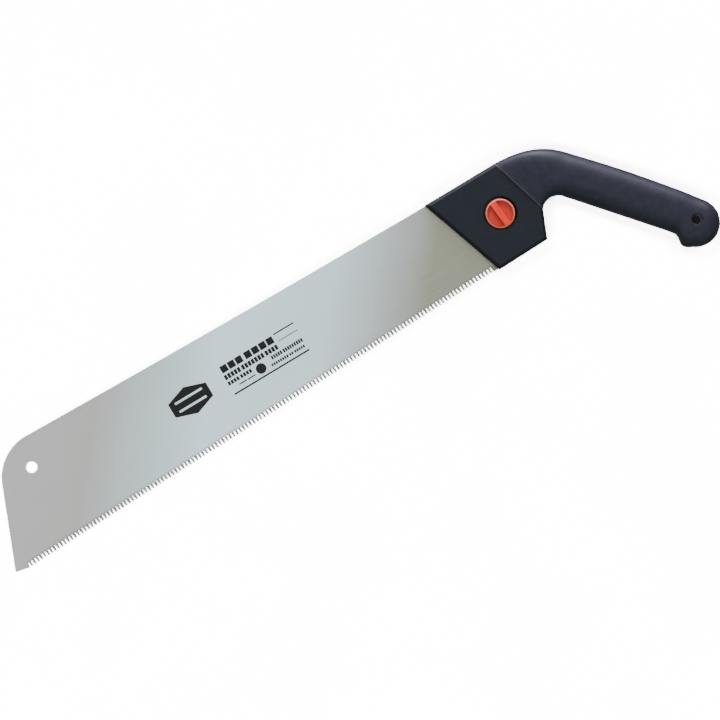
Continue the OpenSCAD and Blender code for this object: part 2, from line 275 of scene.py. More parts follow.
def blended(material, amount, first, second):
    """Mixes two colours by an amount that varies over the surface."""
    node = add_node(material, "ShaderNodeMix")
    node.data_type = "RGBA"
    sockets = {"Factor": amount, "A": first, "B": second}
    for name, value in sockets.items():
        kind = "VALUE" if name == "Factor" else "RGBA"
        socket = next(s for s in node.inputs if s.name == name and s.type == kind)
        if isinstance(value, bpy.types.NodeSocket):
            wire(material, value, socket)
        else:
            socket.default_value = value if name == "Factor" else (*value, 1)
    return next(s for s in node.outputs if s.type == "RGBA")


def bumps(material, shader, height, depth, strength=1.0):
    """Raises the surface by a pattern; depth is in metres."""
    node = add_node(material, "ShaderNodeBump", Height=height, Strength=strength, Distance=depth)
    wire(material, node.outputs[0], shader.inputs["Normal"])


# %% [markdown]
# ### Blade steel
# The blade is cold-rolled spring steel, polished along its length: fine lengthwise lines and a
# soft cloudiness. Over that lies a painted reflection of the studio's light: brighter and bluer
# in the middle, greyer at the toe and darker and warmer at the heel. It runs slantwise, so a ramp
# reads X less a part of Y. The spark hardening of the teeth leaves a faint dark haze just above
# the gullets.

# %% Make the blade steel
TIP_Y = -32.2      # tooth tips, on the drawing board
TOOTH_H = 4.0
NOSE_LENGTH = 10.3                        # plain steel between the toe and the first tooth
SLANT = -0.9                              # how the colours lean: the part of Y added to X


def make_blade_steel():
    steel, shader, where = new_material("blade steel")
    shader.inputs["Metallic"].default_value = 1.0
    lines = pattern(steel, where, 2600, detail=3.0, stretch=(0.012, 1, 1))
    clouds = pattern(steel, where, 18, detail=5.0, rough=0.6, stretch=(1, 1.6, 1))
    place = add_node(steel, "ShaderNodeSeparateXYZ", Vector=where)
    slant = add_node(steel, "ShaderNodeMath", Value=place.outputs["Y"])
    slant.operation = "MULTIPLY_ADD"
    slant.inputs[1].default_value = SLANT
    wire(steel, place.outputs["X"], slant.inputs[2])
    at_bolt = datum.x + SLANT * datum.y
    along = spread(steel, slant.outputs[0], at_bolt - 420 * MM, at_bolt)
    # painted reflection of the studio's light: brighter and bluer in the middle, darker and warmer
    # at the heel
    painted_reflection = ramp(steel, along,
                  (0.05, (0.39, 0.39, 0.39)), (0.17, (0.37, 0.37, 0.355)),
                  (0.30, (0.44, 0.56, 0.56)), (0.42, (0.58, 0.79, 0.86)),
                  (0.65, (0.54, 0.71, 0.74)), (0.77, (0.36, 0.405, 0.40)),
                  (0.87, (0.215, 0.228, 0.165)), (0.95, (0.20, 0.215, 0.15)))
    brushed = blended(steel, ramp(steel, lines, (0.35, 0.0), (0.65, 0.07)), painted_reflection,
                      (0.80, 0.80, 0.80))
    cloudy = blended(steel, ramp(steel, clouds, (0.35, 0.0), (0.65, 0.10)), brushed,
                     (0.30, 0.31, 0.31))
    tips = datum.y + TIP_Y * MM
    past_nose = spread(steel, place.outputs["X"], blade_low.x + (NOSE_LENGTH - 1.3) * MM,
                       blade_low.x + (NOSE_LENGTH + 2.7) * MM, 0.0, 0.5)
    haze = spread(steel, place.outputs["Y"], tips + TOOTH_H * MM, tips + (TOOTH_H + 1.6) * MM,
                  past_nose, 0.0)
    wire(steel, blended(steel, haze, cloudy, (0.12, 0.115, 0.105)), shader.inputs["Base Color"])
    wire(steel, ramp(steel, lines, (0.3, 0.30), (0.7, 0.42)), shader.inputs["Roughness"])
    bumps(steel, shader, lines, 0.000004, 0.5)
    return steel


blade_steel = make_blade_steel()
print("made", blade_steel.name)


# %% Make the two finishes of the teeth
def make_ground_steel(name, dark, light):
    """Steel with the fine marks of the grinding wheel across it."""
    steel, shader, where = new_material(name)
    shader.inputs["Metallic"].default_value = 1.0
    marks = pattern(steel, where, 5000, detail=2.0, stretch=(0.1, 1, 1))
    wire(steel, ramp(steel, marks, (0.3, dark), (0.7, light)), shader.inputs["Base Color"])
    wire(steel, ramp(steel, marks, (0.3, 0.25), (0.7, 0.40)), shader.inputs["Roughness"])
    bumps(steel, shader, marks, 0.000004, 0.6)
    return steel


facet_steel = make_ground_steel("ground facets", (0.14, 0.14, 0.132), (0.20, 0.198, 0.19))
tooth_steel = make_ground_steel("hardened teeth", (0.20, 0.198, 0.19), (0.29, 0.288, 0.28))
print("made", facet_steel.name, "and", tooth_steel.name)

# %% [markdown]
# ### Knob plastic, zinc plate, brass and ink
# The knob is a glossier red plastic with slight flow marks. Painted highlights make it paler
# where its edges catch the light: round the top of the rim and on the bar. A distance from the
# bolt's axis and a height find them.
# Bolt, washer, pins and screws are zinc-plated, which looks like cloudy, faintly spangled steel,
# and the clamp plates are blackened. The insert is turned brass. The marks on the blade are a
# thin black ink that has worn a little patchy.

# %% Make the knob plastic
# Where the painted highlights start: the rim's at a distance from the bolt's axis and near the
# top, the bar's above a height.
RIM_HIGHLIGHT_FROM = 9.0                       # distance from the bolt's axis, in millimetres
RIM_HIGHLIGHT_ABOVE = 8.3                      # height above the middle of the blade
BAR_HIGHLIGHT_FROM = 9.45                      # the same for the bar


def make_knob_plastic():
    red, shader, where = new_material("knob plastic")
    flow = pattern(red, where, 260, detail=4.0, stretch=(1, 0.4, 1))
    grain = pattern(red, where, 3000, detail=2.0)
    place = add_node(red, "ShaderNodeMapping", Vector=where, Location=-datum)
    flat = add_node(red, "ShaderNodeMapping", Vector=place.outputs[0], Scale=(1, 1, 0))
    from_axis = add_node(red, "ShaderNodeVectorMath", Vector=flat.outputs[0])
    from_axis.operation = "LENGTH"
    height = add_node(red, "ShaderNodeSeparateXYZ", Vector=place.outputs[0]).outputs["Z"]
    flow_and_highlights = ramp(red, flow, (0.3, (0.27, 0.006, 0.001)), (0.7, (0.37, 0.011, 0.003)))
    near_top = spread(red, height, RIM_HIGHLIGHT_ABOVE * MM, (RIM_HIGHLIGHT_ABOVE + 0.9) * MM, 0.0, 0.75)
    # painted highlights over the flow marks: paler on the bar's top and round the top of the rim
    for value, start, most, colour in (
            (height, BAR_HIGHLIGHT_FROM, 0.8, (0.48, 0.012, 0.003)),
            (from_axis.outputs["Value"], RIM_HIGHLIGHT_FROM, near_top, (0.45, 0.12, 0.08))):
        wear_and_highlight = spread(red, value, start * MM, (start + 0.5) * MM, 0.0, most)
        flow_and_highlights = blended(red, wear_and_highlight, flow_and_highlights, colour)
    wire(red, flow_and_highlights, shader.inputs["Base Color"])
    shader.inputs["Specular IOR Level"].default_value = 0.3
    wire(red, ramp(red, flow, (0.3, 0.30), (0.7, 0.42)), shader.inputs["Roughness"])
    shader.inputs["Subsurface Weight"].default_value = 0.05
    shader.inputs["Subsurface Radius"].default_value = (0.001, 0.0004, 0.0003)
    bumps(red, shader, grain, 0.00003, 0.4)
    return red


knob_plastic = make_knob_plastic()
print("made", knob_plastic.name)


# %% Make the metals
def make_metal(name, dark, light, scale, turned):
    """A plain metal with clouds, and faint turning or rolling lines."""
    metal, shader, where = new_material(name)
    shader.inputs["Metallic"].default_value = 1.0
    clouds = pattern(metal, where, scale, detail=5.0, rough=0.65)
    lines = pattern(metal, where, 3200, detail=2.0, stretch=turned)
    wire(metal, ramp(metal, clouds, (0.3, dark), (0.7, light)), shader.inputs["Base Color"])
    wire(metal, ramp(metal, clouds, (0.3, 0.24), (0.7, 0.42)), shader.inputs["Roughness"])
    bumps(metal, shader, lines, 0.00001, 0.4)
    return metal


zinc_steel = make_metal("zinc plate", (0.42, 0.43, 0.42), (0.62, 0.62, 0.60), 700, (1, 1, 0.1))
brass = make_metal("turned brass", (0.50, 0.33, 0.12), (0.68, 0.49, 0.21), 500, (0.1, 0.1, 1))
black_steel = make_metal("blackened steel", (0.020, 0.014, 0.010), (0.045, 0.032, 0.022), 400,
                         (0.05, 1, 1))
print("made", zinc_steel.name, brass.name, "and", black_steel.name)


# %% Make the ink
def make_ink():
    ink, shader, where = new_material("blade ink")
    wear_and_highlight = pattern(ink, where, 900, detail=6.0, rough=0.7)
    wire(ink, ramp(ink, wear_and_highlight, (0.35, (0.003, 0.003, 0.003)), (0.75, (0.014, 0.014, 0.014))),
         shader.inputs["Base Color"])
    shader.inputs["Specular IOR Level"].default_value = 0.1
    wire(ink, ramp(ink, wear_and_highlight, (0.3, 0.42), (0.7, 0.62)), shader.inputs["Roughness"])
    bumps(ink, shader, wear_and_highlight, 0.000008, 0.4)
    return ink


blade_ink = make_ink()
print("made", blade_ink.name)

# %% [markdown]
# ## The blade: a pair of teeth
# Pull-saw teeth are tall narrow chisels with deep narrow gullets. Neighbours are set to opposite
# sides, so that the cut is wider than the blade. We model one pair. A tooth starts as a short
# block. Its bottom is bisected twice, and the part in between is pulled down and narrowed. The
# end then moves sideways and out past one face of the blade, and is cut off at a slant, which
# leaves the point. Spark hardening has darkened the whole tooth. The facet that slants across
# the thickness is the ground one, so it gets its own finish. The neighbour is mirrored through
# the thickness.

# %% Model a pair of teeth
board_low, board_high = on_board("blade")
REACH = -board_low.x          # from the toe's corner to the bolt
HALF_T = board_high.z         # half the blade's thickness
PITCH = 2.82
NOSE = (-REACH + NOSE_LENGTH, -31.9)
FIRST_GULLET = NOSE[0] + 0.7
PLAIN_END = -26.2             # no teeth from here to the head
TOOTH_COUNT = int((PLAIN_END - FIRST_GULLET) / PITCH)
GULLET_Y = TIP_Y + TOOTH_H
LEAN = 0.05                   # how far a tooth leans towards the grip, in pitches
SET = 0.18                    # how far a tip stands out of the blade's face
ROOT = 0.17                   # half a gullet's floor, in pitches
NARROWING = (0.70, 1, 0.4)    # the tip's size against the root's, along and through the blade
POINT_ANGLE = 28.0            # slant of the cut that leaves the point
BAND = 2.0                    # height of the strip of blade above the gullets


def add_tooth(name, x):
    tooth = add_block(name, (x, GULLET_Y, -HALF_T), (x + PITCH, GULLET_Y + BAND, HALF_T))
    for finish in (blade_steel, facet_steel, tooth_steel):
        tooth.data.materials.append(finish)
    at_bottom = lambda face: face.normal.y < -0.9
    for part in (ROOT, 1 - ROOT):
        cut(tooth, (x + part * PITCH, 0, 0), (1, 0, 0), only=at_bottom)
    pick(tooth, "FACE", lambda face: at_bottom(face) and abs(middle(face).x - x - PITCH / 2) < 0.1)
    bpy.ops.mesh.extrude_region_move(TRANSFORM_OT_translate={"value": (0, -TOOTH_H, 0)})
    bpy.ops.transform.resize(value=NARROWING, center_override=(x + PITCH / 2, TIP_Y, HALF_T))
    bpy.ops.transform.translate(value=(LEAN * PITCH, 0, SET))
    half_tip = (0.5 - ROOT) * NARROWING[0] * PITCH
    slant = (-sin(radians(POINT_ANGLE)), -cos(radians(POINT_ANGLE)), 0)
    cut(tooth, (x + (0.5 + LEAN) * PITCH + half_tip, TIP_Y, 0), slant)
    for slot, on_face in (
            (2, lambda face: middle(face).y < GULLET_Y - 0.1),
            (1, lambda face: middle(face).y < GULLET_Y - 0.1 and -0.99 < face.normal.z < -0.5)):
        pick(tooth, "FACE", on_face)
        tooth.active_material_index = slot
        bpy.ops.object.material_slot_assign()
    pick(tooth, "FACE", lambda face: middle(face).y > GULLET_Y and abs(face.normal.z) < 0.5)
    bpy.ops.mesh.delete(type="FACE")
    leave_edit_mode()
    return tooth


def add_pair():
    tooth = add_tooth("saw_blade", FIRST_GULLET)
    other = add_tooth("other tooth", FIRST_GULLET + PITCH)
    pick_all(other)
    bpy.ops.transform.resize(value=(1, 1, -1), center_override=(0, 0, 0))
    take(tooth, other)
    bpy.ops.object.join()
    return tooth


saw_blade = add_pair()
print("teeth:", TOOTH_COUNT, "set", SET, "mm either way")

# %% [markdown]
# ### The whole tooth line
# What repeats is modelled once: an Array modifier lays the pair end to end and welds the copies,
# which gives one open strip. Its upper edges are then pulled up past the spine and bridged, and
# its two ends are pulled out past the toe and past the head and closed.

# %% Lay out the teeth and pull up the blade
ROW_END = FIRST_GULLET + TOOTH_COUNT * PITCH
ABOVE = 56.0                  # higher than the spine, to be trimmed


def lay_out_teeth(strip):
    take(strip)
    row = strip.modifiers.new("row", "ARRAY")
    row.count = (TOOTH_COUNT + 1) // 2
    row.use_relative_offset = False
    row.use_constant_offset = True
    row.constant_offset_displace = (2 * PITCH, 0, 0)
    bpy.ops.object.modifier_apply(modifier=row.name)
    merged(strip, 1e-3)
    if pick(strip, "FACE", lambda face: middle(face).x > ROW_END):
        bpy.ops.mesh.delete(type="FACE")
    leave_edit_mode()


def pull_up(strip):
    top = GULLET_Y + BAND
    pick(strip, "EDGE", lambda e: all(abs(v.co.y - top) < 1e-3 for v in e.verts))
    bpy.ops.mesh.extrude_edges_move(TRANSFORM_OT_translate={"value": (0, ABOVE - top, 0)})
    pick(strip, "EDGE", lambda e: all(v.co.y > ABOVE - 1e-3 for v in e.verts))
    bpy.ops.mesh.bridge_edge_loops()
    leave_edit_mode()


lay_out_teeth(saw_blade)
pull_up(saw_blade)
print("teeth run from", round(FIRST_GULLET, 1), "to", round(ROW_END, 1))

# %% [markdown]
# ### Plain steel at both ends
# The strip's open ends are pulled out step by step: at the toe to a short smooth nose, at the
# heel to the plain stretch that enters the head. Each step may lower the bottom edge.

# %% Carry the blade on past both ends
FRONT_TOP = Vector((-41.8, 33.4, 0))      # the head's slanted front edge
FRONT_LOW = Vector((-21.5, -33.2, 0))
NOSE_SLOPE = 2.6 / NOSE_LENGTH            # rise of the smooth nose towards the toe
PAST_TOE = -REACH - 3
PAST_FRONT = -8.0


def carry_on(strip, start, steps):
    """Pulls an open end through steps of (x, bottom height), then closes it."""
    bottom = GULLET_Y
    for x, next_bottom in steps:
        pick(strip, "EDGE", lambda e: len(e.link_faces) < 2
             and all(abs(v.co.x - start) < 1e-3 for v in e.verts))
        bpy.ops.mesh.extrude_edges_move(TRANSFORM_OT_translate={"value": (x - start, 0, 0)})
        pick(strip, "VERT", lambda v: abs(v.co.x - x) < 1e-3 and abs(v.co.y - bottom) < 1e-3)
        bpy.ops.transform.translate(value=(0, next_bottom - bottom, 0))
        start, bottom = x, next_bottom
    pick(strip, "EDGE", lambda e: len(e.link_faces) < 2
         and all(abs(v.co.x - start) < 1e-3 for v in e.verts))
    bpy.ops.mesh.edge_face_add()
    leave_edit_mode()


carry_on(saw_blade, FIRST_GULLET, [NOSE, (PAST_TOE, NOSE[1] + (NOSE[0] - PAST_TOE) * NOSE_SLOPE)])
carry_on(saw_blade, ROW_END, [(PLAIN_END + 0.7, TIP_Y), (PAST_FRONT, TIP_Y)])
merged(saw_blade, 1e-3)
print("blade before trimming:", len(saw_blade.data.polygons), "faces")

# %% [markdown]
# ### Trimming to the outline
# The spine rises towards the toe in a very slight hollow curve. A straight cut can't make a
# hollow, so each column of top points is lowered to the curve. The toe is straight cuts: first
# its front edge, then one cut after another round the big corner, like filing it round.

# %% Lower the spine and cut the toe
SPINE_STRAIGHT = -348.7                   # from here on the spine runs straight to the toe
TOE_CORNER = Vector((-REACH, -29.3, 0))
TOE_ANGLE = 66.2                          # slope of the toe's front edge
TOE_R = 34.0                              # corner between the toe and the spine


def spine_at(x):
    t = FRONT_TOP.x - x
    return 32.86 + 0.0361 * t + 0.0000318 * t * t


SPINE_RISE = spine_at(-REACH + 35) - spine_at(SPINE_STRAIGHT)
SPINE_RUN = 40.36


def lower_spine(blade):
    columns = sorted({round(v.co.x, 3) for v in blade.data.vertices if v.co.y > ABOVE - 0.1})
    for x in columns:
        beyond = max(0.0, SPINE_STRAIGHT - x)
        y = spine_at(max(x, SPINE_STRAIGHT)) + SPINE_RISE * beyond / SPINE_RUN
        pick(blade, "VERT", lambda v: abs(v.co.x - x) < 2e-3 and v.co.y > ABOVE - 0.1)
        bpy.ops.transform.translate(value=(0, y - ABOVE, 0))
    leave_edit_mode()


def cut_toe(blade):
    toe_normal = Vector((-sin(radians(TOE_ANGLE)), cos(radians(TOE_ANGLE)), 0))
    cut(blade, TOE_CORNER, toe_normal)
    spine_normal = Vector((SPINE_RISE, SPINE_RUN, 0)).normalized()
    on_spine = Vector((SPINE_STRAIGHT, spine_at(SPINE_STRAIGHT), 0))
    a = TOE_CORNER - toe_normal * TOE_R
    b = on_spine - spine_normal * TOE_R
    along = Vector((SPINE_RUN, -SPINE_RISE, 0)).normalized()
    middle_of_arc = b - along * ((b - a).dot(toe_normal) / along.dot(toe_normal))
    turn = spine_normal.angle(toe_normal)
    steps = 24
    for i in range(1, steps):
        direction = spine_normal.copy()
        direction.rotate(Matrix.Rotation(turn * i / steps, 3, "Z"))
        cut(blade, middle_of_arc + direction * TOE_R, direction)


lower_spine(saw_blade)
cut_toe(saw_blade)
print("spine is", round(spine_at(SPINE_STRAIGHT), 1), "mm up near the toe")

# %% [markdown]
# ### The tang
# Inside the head the blade narrows to a tang with a slot, so it slides in under the loosened
# bolt. The heel is cut parallel to the head's front. On the cut face we keep a strip as wide as
# the tang, pull it out, flatten its end and bevel its corners.

# %% Cut the heel and pull out the tang
TANG_HALF = 18.0
TANG_END = board_high.x
TANG_GAP = 0.4                            # room beside the tang in its slot
SLOT_R = 4.2                              # the slot that the bolt's shoulder runs in
SHOULDER_GAP = 0.12                       # between the blade's shoulders and the head
TOE_HOLE, TOE_HOLE_R = (-REACH + 49.35, 27), 4.0
front_normal = Vector((FRONT_TOP.y - FRONT_LOW.y, FRONT_LOW.x - FRONT_TOP.x, 0)).normalized()


def add_tang(blade):
    at_front = lambda face: face.normal.dot(front_normal) > 0.99
    cut(blade, FRONT_TOP - Vector((SHOULDER_GAP, 0, 0)), front_normal)
    for side in (-1, 1):
        cut(blade, (0, side * TANG_HALF, 0), (0, side, 0), only=at_front)
    pick(blade, "FACE", lambda face: at_front(face) and abs(middle(face).y) < TANG_HALF - 1)
    bpy.ops.mesh.extrude_region_move(TRANSFORM_OT_translate={"value": (1, 0, 0)})
    bpy.ops.transform.resize(value=(0, 1, 1), center_override=(TANG_END, 0, 0))
    pick(blade, "EDGE", lambda e: all(v.co.x > TANG_END - 0.01 for v in e.verts)
         and abs(e.verts[0].co.z - e.verts[1].co.z) > 0.5)
    bpy.ops.mesh.bevel(offset=2.0, offset_type="OFFSET", segments=1, affect="EDGES")
    leave_edit_mode()
    combine(blade, add_disc("slot end", (0, 0), SLOT_R, -2, 2), "DIFFERENCE")
    combine(blade, add_block("slot", (0, -SLOT_R, -2), (TANG_END + 2, SLOT_R, 2)), "DIFFERENCE")


add_tang(saw_blade)
combine(saw_blade, add_disc("toe hole", TOE_HOLE, TOE_HOLE_R, -2, 2), "DIFFERENCE")
print("tang ends", round(TANG_END, 1), "mm behind the bolt")

# %% [markdown]
# A stamped and ground sheet has edges that are broken, not razor sharp, and that thin bright line
# is what tells the eye how thick the steel is. So every long edge except the teeth gets a tiny
# bevel. Then the blade takes its place.

# %% Break the blade's long edges and put it in place
def is_outline(edge):
    return (len(edge.link_faces) == 2 and edge.calc_face_angle() > 1.2
            and min(v.co.y for v in edge.verts) > GULLET_Y + 3)


print("outline edges:", pick(saw_blade, "EDGE", is_outline))
bpy.ops.mesh.bevel(offset=0.1, offset_type="OFFSET", segments=1, affect="EDGES")
leave_edit_mode()
merged(saw_blade, 1e-3)
settle(saw_blade, "blade", "blade", smooth=20)

# %% [markdown]
# ### Marks on the blade
# Makers print their marks on the knob side of the blade. Ours say nothing: a plain slotted
# hexagon, and rows of dashes between rules. Ink has almost no thickness, so each mark is a thin
# block that stands two hundredths of a millimetre proud; that keeps it clear of the steel when
# it is rendered. Corners are rounded like a worn stamp's.

# %% Print the marks
INK_LOW, INK_HIGH = HALF_T - 0.01, HALF_T + 0.02
PRINT_TILT = -1.5                         # the stencil was laid on a little crooked
PRINT_CENTRE = (-195.0, 4.0)
BLOCK_LEFT, BLOCK_RIGHT = -226.0, -164.5


def add_dashes(x, y, height, length, words, gap=0.6):
    """Rows of equal dashes grouped like words, from x on, with the lower edge at y."""
    dashes = []
    for count in words:
        for _ in range(count):
            dashes.append(add_block("dash", (x, y, INK_LOW), (x + length, y + height, INK_HIGH)))
            x += length + gap
        x += 1.5 * gap
    return dashes


def add_rule(x, y, height):
    """A long thin line from x to the right edge of the block."""
    return add_dashes(x, y, height, BLOCK_RIGHT - x, [1])


def add_hexagon(centre, radius, stretch):
    """A stretched hexagon with two slots across it."""
    x, y = centre
    plate = add_disc("hexagon", (0, 0), radius, INK_LOW, INK_HIGH, sides=6)
    pick_all(plate)
    bpy.ops.transform.resize(value=(stretch, 1, 1), center_override=(0, 0, 0))
    bpy.ops.transform.translate(value=(x, y, 0))
    leave_edit_mode()
    for slot_y in (-3.2, 3.2):
        slot = add_block("slot", (x - 11, y + slot_y - 0.8, -2), (x + 11, y + slot_y + 0.8, 2))
        combine(plate, slot, "DIFFERENCE")
    return plate


def print_marks():
    marks = [add_hexagon((-254.5, 5.0), 10.5, 1.7)]
    marks += add_dashes(-225.5, 9.3, 5.2, 5.2, [3, 4], gap=0.85)
    marks += add_rule(-181.0, 14.0, 1.0) + add_rule(-180.0, 8.4, 0.6)
    marks += add_dashes(BLOCK_LEFT, 4.0, 3.7, 2.15, [5, 7, 4], gap=0.5)
    marks += add_dashes(BLOCK_LEFT, -0.4, 2.8, 1.85, [4, 4], gap=0.5)
    marks.append(add_disc("dot", (-200.5, -1.5), 3.8, INK_LOW, INK_HIGH, sides=32))
    marks += add_dashes(-190.5, -0.3, 2.8, 1.4, [5, 9], gap=0.4)
    marks += add_dashes(-219.5, -3.6, 0.9, 6.4, [2], gap=0.6)
    marks += add_dashes(-193.0, -4.5, 2.0, 1.35, [8, 2, 5], gap=0.4)
    marks += add_rule(BLOCK_LEFT, -8.1, 1.2)
    take(*marks)
    bpy.ops.object.join()
    ink = bpy.context.object
    ink.name = ink.data.name = "blade_marks"
    pick(ink, "EDGE", lambda e: abs(e.verts[0].co.z - e.verts[1].co.z) > 0.02)
    bpy.ops.mesh.bevel(offset=0.18, offset_type="OFFSET", segments=3, affect="EDGES")
    bpy.ops.mesh.select_all(action="SELECT")
    bpy.ops.transform.rotate(value=-radians(PRINT_TILT), orient_axis="Z",
                             center_override=(*PRINT_CENTRE, 0))
    leave_edit_mode()
    return ink


blade_marks = print_marks()
blade_marks.data.materials.append(blade_ink)
settle(blade_marks, "blade")

# %% [markdown]
# ## The handle: a flat head
# The two moulded shells share one outer form, so we build the whole form, make the openings,
# and then saw it in two. The head is a flat slab with five straight sides: a block trimmed by
# five planes. Its long edges carry the wide 45 degree bevel that catches the light, and a
# second, tiny bevel stands for the radius that every mould has.

# %% Cut the head from a block
HEAD_HALF = 9.0
HEAD_BEVEL = 2.2
REAR_LOW = Vector((18.2, -33.2, 0))
RIDGE_TOP = Vector((15.1, 31.9, 0))
BEND_C = Vector((35.6, -20.6, 0))         # inside bend under the first finger
BEND_R = 10.9
RIDGE_ANGLE = 140.6                       # where the ridge meets the bend


def around(centre, radius, degrees):
    return centre + radius * Vector((cos(radians(degrees)), sin(radians(degrees)), 0))


RIDGE_LOW = around(BEND_C, BEND_R, RIDGE_ANGLE)


def outward(a, b):
    """The outward direction of a side from a to b, going round anticlockwise."""
    return Vector((b.y - a.y, a.x - b.x, 0)).normalized()


ridge_normal = outward(RIDGE_LOW, RIDGE_TOP)


def past_ridge(point):
    return (point - RIDGE_TOP).dot(ridge_normal)


def add_head():
    head = add_block("head", (-60, -60, -HEAD_HALF), (60, 60, HEAD_HALF))
    corners = [FRONT_TOP, FRONT_LOW, REAR_LOW, RIDGE_LOW, RIDGE_TOP]
    for a, b in zip(corners, corners[1:] + corners[:1]):
        overlap = 0.3 if a == RIDGE_LOW else 0.0
        cut(head, a + outward(a, b) * overlap, outward(a, b))
    pick(head, "EDGE", lambda e: abs(e.verts[0].co.z - e.verts[1].co.z) < 0.1
         and past_ridge(middle(e)) < -1)
    bpy.ops.mesh.bevel(offset=HEAD_BEVEL, offset_type="OFFSET", segments=1, affect="EDGES")
    leave_edit_mode()
    soften(head, 0.35, 3)
    return head


head = add_head()
print("head:", len(head.data.polygons), "faces")

# %% [markdown]
# ### The grip
# The grip changes its section all the way: squarish at the ridge, oval in the palm, closing to
# a round butt. No single operator does that, so we roll a flat grid into a tube by formula. One
# grid direction becomes the place along the grip, the other the way round its section, and each
# section is a squared-off ellipse that stands on a line from the back of the grip to its front.

# %% Lines of the grip's back and front
GRIP_HALF = 12.98
SHOULDER = Vector((60.8, 13.5, 0))        # where the back of the grip straightens
PALM_END = Vector((116.3, -54.9, 0))      # back of the grip opposite the notch
BUTT_C = Vector((112.7, -79.6, 0))
BUTT_R = 17.15
BUTT_BACK, BUTT_FRONT = 36, -126          # angles where the round butt begins
BUTT_TIP = -52                            # and where its two sides meet
BEND_END = 38                             # where the bend meets the straight front
BUTT_TOP = around(BUTT_C, BUTT_R, BUTT_BACK)
BEND_LOW = around(BEND_C, BEND_R, BEND_END)
NOTCH = Vector((92.6, -73.6, 0))          # where the straight front meets the notch
BEAK = [Vector((*p, 0)) for p in (
    (94.9, -76.6), (96.5, -79.6), (96.4, -83.4), (95.7, -86.4), (96.4, -88.9), (98.6, -91.3))]
BEND, PALM, WRIST = 9, 7, 6               # stations in each stretch of the grip
BUTT = 8
LAST = BEND + PALM + WRIST + BUTT


def mix(a, b, t):
    return a * (1 - t) + b * t


def bezier(a, b, c, d, t):
    return mix(mix(mix(a, b, t), mix(b, c, t), t), mix(mix(b, c, t), mix(c, d, t), t), t)


def through(points, t):
    """A smooth curve through all the points; t counts them."""
    i = min(int(t), len(points) - 2)
    before, a, b, after = (points[max(0, min(j, len(points) - 1))] for j in range(i - 1, i + 3))
    t -= i
    return bezier(a, a + (b - before) / 6, b - (after - a) / 6, b, t)


def back_at(i):
    if i <= BEND:
        return bezier(RIDGE_TOP, RIDGE_TOP + Vector((22, -1, 0)),
                      SHOULDER + Vector((-10, 10.7, 0)), SHOULDER, i / BEND)
    i -= BEND
    if i <= PALM:
        swell = Vector((0.75, 0.6, 0)) * sin(math.pi * i / PALM)
        return mix(SHOULDER, PALM_END, i / PALM) + swell
    i -= PALM
    if i <= WRIST:
        return bezier(PALM_END, PALM_END + Vector((3, -4, 0)),
                      BUTT_TOP + Vector((-3, 4.1, 0)), BUTT_TOP, i / WRIST)
    return around(BUTT_C, BUTT_R, mix(BUTT_BACK, BUTT_TIP + 0.5, (i - WRIST) / BUTT))


def front_at(i):
    if i <= BEND:
        return around(BEND_C, BEND_R, mix(RIDGE_ANGLE, BEND_END, i / BEND))
    i -= BEND
    if i <= PALM - 1:
        return mix(BEND_LOW, NOTCH, i / PALM)
    i -= PALM - 1
    if i <= WRIST + 1:
        points = [mix(BEND_LOW, NOTCH, 1 - 1 / PALM)] + BEAK
        return through(points + [around(BUTT_C, BUTT_R, BUTT_FRONT)], i)
    return around(BUTT_C, BUTT_R, mix(BUTT_FRONT, BUTT_TIP - 0.5, (i - WRIST - 1) / BUTT))


print("grip is", round((back_at(12) - front_at(12)).length, 1), "mm wide in the palm")


# %% Roll the grip
def thickness_at(i):
    """Half the grip's thickness; it closes over the butt like a ball."""
    full = mix(HEAD_HALF + 1.3, GRIP_HALF, sin(math.pi / 2 * min(1, i / (BEND + 1))))
    over_butt = max(0.0, (i - LAST + BUTT) / BUTT)
    if over_butt == 0:
        return full
    return full * (1 - cos(radians(mix(88, 0.6, over_butt))) ** 2.6) ** (1 / 2.6)


def squareness_at(i):
    if i < BEND:
        return mix(5, 2.7, i / BEND)
    return mix(2.7, 3.3, min(1, (i - BEND) / (PALM + WRIST)))


def grip_point(i, angle):
    back, front = back_at(i), front_at(i)
    power = 2 / squareness_at(i)
    across = math.copysign(abs(cos(angle)) ** power, cos(angle))
    up = math.copysign(abs(sin(angle)) ** power, sin(angle))
    point = (back + front) / 2 + (back - front) / 2 * across
    point.z = thickness_at(i) * up
    return point


def add_grip():
    leave_edit_mode()
    bpy.ops.object.select_all(action="DESELECT")
    bpy.ops.mesh.primitive_grid_add(x_subdivisions=4 * LAST, y_subdivisions=72, size=2)
    grip = named("grip")
    for v in grip.data.vertices:
        v.co = grip_point((v.co.x + 1) / 2 * LAST, (v.co.y + 1) * math.pi)
    merged(grip)
    pick(grip, "EDGE", lambda e: len(e.link_faces) < 2)
    bpy.ops.mesh.fill_holes(sides=0)
    leave_edit_mode()
    merged(grip)
    pick(grip, "EDGE", lambda e: all(abs(past_ridge(v.co)) < 1e-3 for v in e.verts))
    bpy.ops.mesh.bevel(offset=0.6, offset_type="OFFSET", segments=4, affect="EDGES")
    leave_edit_mode()
    return grip


handle_form = add_grip()
print("grip:", len(handle_form.data.polygons), "faces")

# %% [markdown]
# ### Openings
# Head and grip become one form, and then the openings are cut: the slot for the tang, the
# pocket for the clamp plates, the round well for the knob, the six-sided seat of the bolt, the
# stepped screw holes in the back and the hanging hole. Cutters that don't touch each other are
# joined first, because one cut with many holes is quicker than many cuts.

